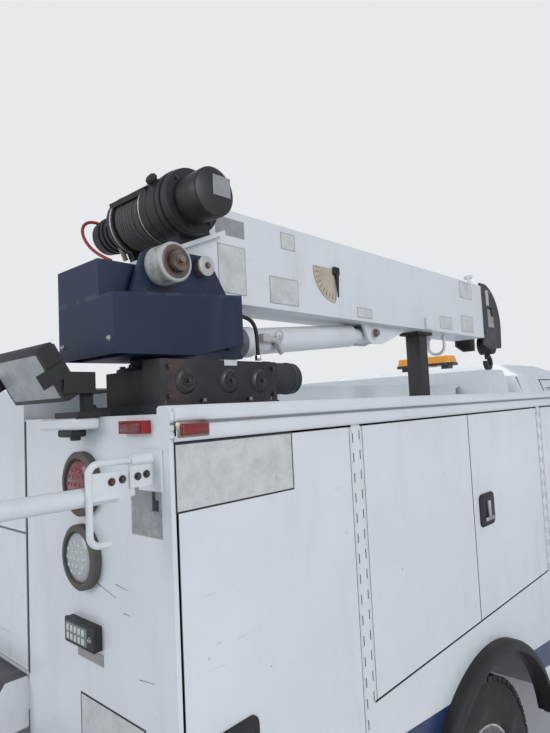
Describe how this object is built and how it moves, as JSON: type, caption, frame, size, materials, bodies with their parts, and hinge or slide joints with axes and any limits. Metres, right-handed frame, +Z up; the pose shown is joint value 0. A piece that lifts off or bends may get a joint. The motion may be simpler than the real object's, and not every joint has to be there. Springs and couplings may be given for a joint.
{
  "type": "service crane truck",
  "caption": "White service body truck with side lockers, a covered bed and a small telescopic crane on the rear right corner.",
  "frame": {"origin": "centre of the bounding box, on the ground", "axes": "+X towards the front, +Y to the truck's left, +Z up"},
  "size_m": [6.235, 2.53, 2.3174],
  "materials": {
    "white_paint": "semi-gloss white paint, lightly weathered",
    "crane_white": "semi-gloss white paint with scuffs",
    "navy_cover": "dark blue paint, worn at the edges",
    "frame_black": "satin black paint",
    "steel_dark": "rough dark casting",
    "rod_chrome": "polished rod",
    "wheel_steel": "grey painted steel",
    "tyre": "tyre rubber",
    "black_plastic": "grained black plastic",
    "seat_cloth": "woven cloth",
    "clear_glass": "clear glass",
    "lamp": "moulded lens",
    "amber": "moulded lens",
    "flare_black": "black rubber"
  },
  "bodies": {
    "truck": {"chassis_frame": "frame_black", "front_axle": "steel_dark", "rear_axle": "steel_dark", "engine_block": "steel_dark", "driveshaft": "steel_dark", "fuel_tank": "black_plastic", "cab_shell": "white_paint", "cab_glass": "clear_glass", "cab_seat": "seat_cloth", "dashboard": "black_plastic", "grille": "black_plastic", "headlamps": "clear_glass", "front_fenders": "white_paint", "front_bumper": "frame_black", "light_bar": "amber", "fender_flares": "flare_black", "bed": "white_paint", "front_locker": "white_paint", "rear_bumper": "frame_black", "rear_lamps": "lamp", "cone_holder": "frame_black", "work_light": "black_plastic", "crane_base": "crane_white", "boom_rest": "frame_black", "right_pack": "white_paint", "left_pack": "white_paint"},
    "turret": {"turret": "navy_cover"},
    "boom": {"outer_boom": "crane_white", "winch": "frame_black"},
    "inner_boom": {"inner_boom": "crane_white", "hook_rope": "steel_dark"},
    "hook": {"hook_block": "steel_dark"},
    "lift_barrel": {"lift_cylinder": "crane_white"},
    "lift_rod": {"cylinder_rod": "rod_chrome"},
    "hood": {"hood": "white_paint"},
    "tailgate": {"tailgate": "white_paint"},
    "cargo_cover": {"cargo_cover": "white_paint"},
    "right_steering": {"right_knuckle": "steel_dark"},
    "right_front_wheel": {"right_front_wheel": "wheel_steel", "right_front_tyre": "tyre"},
    "right_rear_wheels": {"right_rear_wheels": "wheel_steel", "right_rear_tyres": "tyre"},
    "right_cab_door": {"right_cab_door": "white_paint", "right_door_glass": "clear_glass"},
    "right_rear_pack_door": {"right_rear_pack_door": "white_paint"},
    "right_middle_rear_pack_door": {"right_middle_rear_pack_door": "white_paint"},
    "right_middle_front_pack_door": {"right_middle_front_pack_door": "white_paint"},
    "right_front_pack_door": {"right_front_pack_door": "white_paint"},
    "left_steering": {"left_knuckle": "steel_dark"},
    "left_front_wheel": {"left_front_wheel": "wheel_steel", "left_front_tyre": "tyre"},
    "left_rear_wheels": {"left_rear_wheels": "wheel_steel", "left_rear_tyres": "tyre"},
    "left_cab_door": {"left_cab_door": "white_paint", "left_door_glass": "clear_glass"},
    "left_rear_pack_door": {"left_rear_pack_door": "white_paint"},
    "left_middle_rear_pack_door": {"left_middle_rear_pack_door": "white_paint"},
    "left_middle_front_pack_door": {"left_middle_front_pack_door": "white_paint"},
    "left_front_pack_door": {"left_front_pack_door": "white_paint"}
  },
  "joints": [
    {"name": "left_steer", "type": "hinge", "parent": "truck", "child": "left_steering", "pos_m": [2.1475, 0.79, 0.405], "axis": [0, 0, 1], "range_deg": [-32, 32]},
    {"name": "left_front_spin", "type": "hinge", "parent": "left_steering", "child": "left_front_wheel", "pos_m": [2.1475, 0.9, 0.405], "axis": [0, 1, 0], "continuous": true},
    {"name": "left_rear_spin", "type": "hinge", "parent": "truck", "child": "left_rear_wheels", "pos_m": [-1.5425, 0.915, 0.405], "axis": [0, 1, 0], "continuous": true},
    {"name": "left_cab_door_hinge", "type": "hinge", "parent": "truck", "child": "left_cab_door", "pos_m": [1.6325, 1.0023, 1.2], "axis": [0, 0, -1], "range_deg": [0, 65]},
    {"name": "left_rear_pack_door_hinge", "type": "hinge", "parent": "truck", "child": "left_rear_pack_door", "pos_m": [-2.2375, 1.1913, 1.2], "axis": [0, 0, -1], "range_deg": [0, 90]},
    {"name": "left_middle_rear_pack_door_hinge", "type": "hinge", "parent": "truck", "child": "left_middle_rear_pack_door", "pos_m": [-2.1945, 1.1913, 1.2], "axis": [0, 0, 1], "range_deg": [0, 90]},
    {"name": "left_middle_front_pack_door_hinge", "type": "hinge", "parent": "truck", "child": "left_middle_front_pack_door", "pos_m": [-0.8855, 1.1913, 1.2], "axis": [0, 0, -1], "range_deg": [0, 90]},
    {"name": "left_front_pack_door_hinge", "type": "hinge", "parent": "truck", "child": "left_front_pack_door", "pos_m": [-0.8425, 1.1913, 1.2], "axis": [0, 0, 1], "range_deg": [0, 90]},
    {"name": "right_steer", "type": "hinge", "parent": "truck", "child": "right_steering", "pos_m": [2.1475, -0.79, 0.405], "axis": [0, 0, 1], "range_deg": [-32, 32]},
    {"name": "right_front_spin", "type": "hinge", "parent": "right_steering", "child": "right_front_wheel", "pos_m": [2.1475, -0.9, 0.405], "axis": [0, 1, 0], "continuous": true},
    {"name": "right_rear_spin", "type": "hinge", "parent": "truck", "child": "right_rear_wheels", "pos_m": [-1.5425, -0.915, 0.405], "axis": [0, 1, 0], "continuous": true},
    {"name": "right_cab_door_hinge", "type": "hinge", "parent": "truck", "child": "right_cab_door", "pos_m": [1.6325, -1.0023, 1.2], "axis": [0, 0, 1], "range_deg": [0, 65]},
    {"name": "right_rear_pack_door_hinge", "type": "hinge", "parent": "truck", "child": "right_rear_pack_door", "pos_m": [-2.2375, -1.1913, 1.2], "axis": [0, 0, 1], "range_deg": [0, 90]},
    {"name": "right_middle_rear_pack_door_hinge", "type": "hinge", "parent": "truck", "child": "right_middle_rear_pack_door", "pos_m": [-2.1945, -1.1913, 1.2], "axis": [0, 0, -1], "range_deg": [0, 90]},
    {"name": "right_middle_front_pack_door_hinge", "type": "hinge", "parent": "truck", "child": "right_middle_front_pack_door", "pos_m": [-0.8855, -1.1913, 1.2], "axis": [0, 0, 1], "range_deg": [0, 90]},
    {"name": "right_front_pack_door_hinge", "type": "hinge", "parent": "truck", "child": "right_front_pack_door", "pos_m": [-0.8425, -1.1913, 1.2], "axis": [0, 0, -1], "range_deg": [0, 90]},
    {"name": "hood_hinge", "type": "hinge", "parent": "truck", "child": "hood", "pos_m": [1.7003, 0, 1.324], "axis": [0, -1, 0], "range_deg": [0, 50]},
    {"name": "tailgate_hinge", "type": "hinge", "parent": "truck", "child": "tailgate", "pos_m": [-2.7815, 0, 1.15], "axis": [0, -1, 0], "range_deg": [0, 90]},
    {"name": "cargo_cover_hinge", "type": "hinge", "parent": "truck", "child": "cargo_cover", "pos_m": [-0.3375, 0, 1.819], "axis": [0, 1, 0], "range_deg": [0, 35]},
    {"name": "slew", "type": "hinge", "parent": "truck", "child": "turret", "pos_m": [-2.5375, -0.909, 1.88], "axis": [0, 0, 1], "range_deg": [-200, 200]},
    {"name": "boom_lift", "type": "hinge", "parent": "turret", "child": "boom", "pos_m": [-2.6525, -0.909, 2.075], "axis": [0, -1, 0], "range_deg": [0, 75]},
    {"name": "boom_extend", "type": "slide", "parent": "boom", "child": "inner_boom", "axis": [1, 0, 0], "range_m": [0, 1.2]},
    {"name": "hook_swing", "type": "hinge", "parent": "inner_boom", "child": "hook", "pos_m": [-0.6482, -0.909, 2.0055], "axis": [0, 1, 0], "range_deg": [-30, 80]},
    {"name": "cylinder_pivot", "type": "hinge", "parent": "boom", "child": "lift_barrel", "pos_m": [-1.7275, -0.909, 1.99], "axis": [0, -1, 0], "range_deg": [0, 2.6]},
    {"name": "cylinder_stroke", "type": "slide", "parent": "lift_barrel", "child": "lift_rod", "axis": [-0.9954, 0, -0.0955], "range_m": [0, 0.302]}
  ],
  "couplings": [
    {"joint": "right_steer", "follows": "left_steer", "ratio": 1},
    {"joint": "cylinder_pivot", "follows": "boom_lift", "ratio": 0.0332},
    {"joint": "cylinder_stroke", "follows": "boom_lift", "m_per_rad": 0.22987}
  ]
}
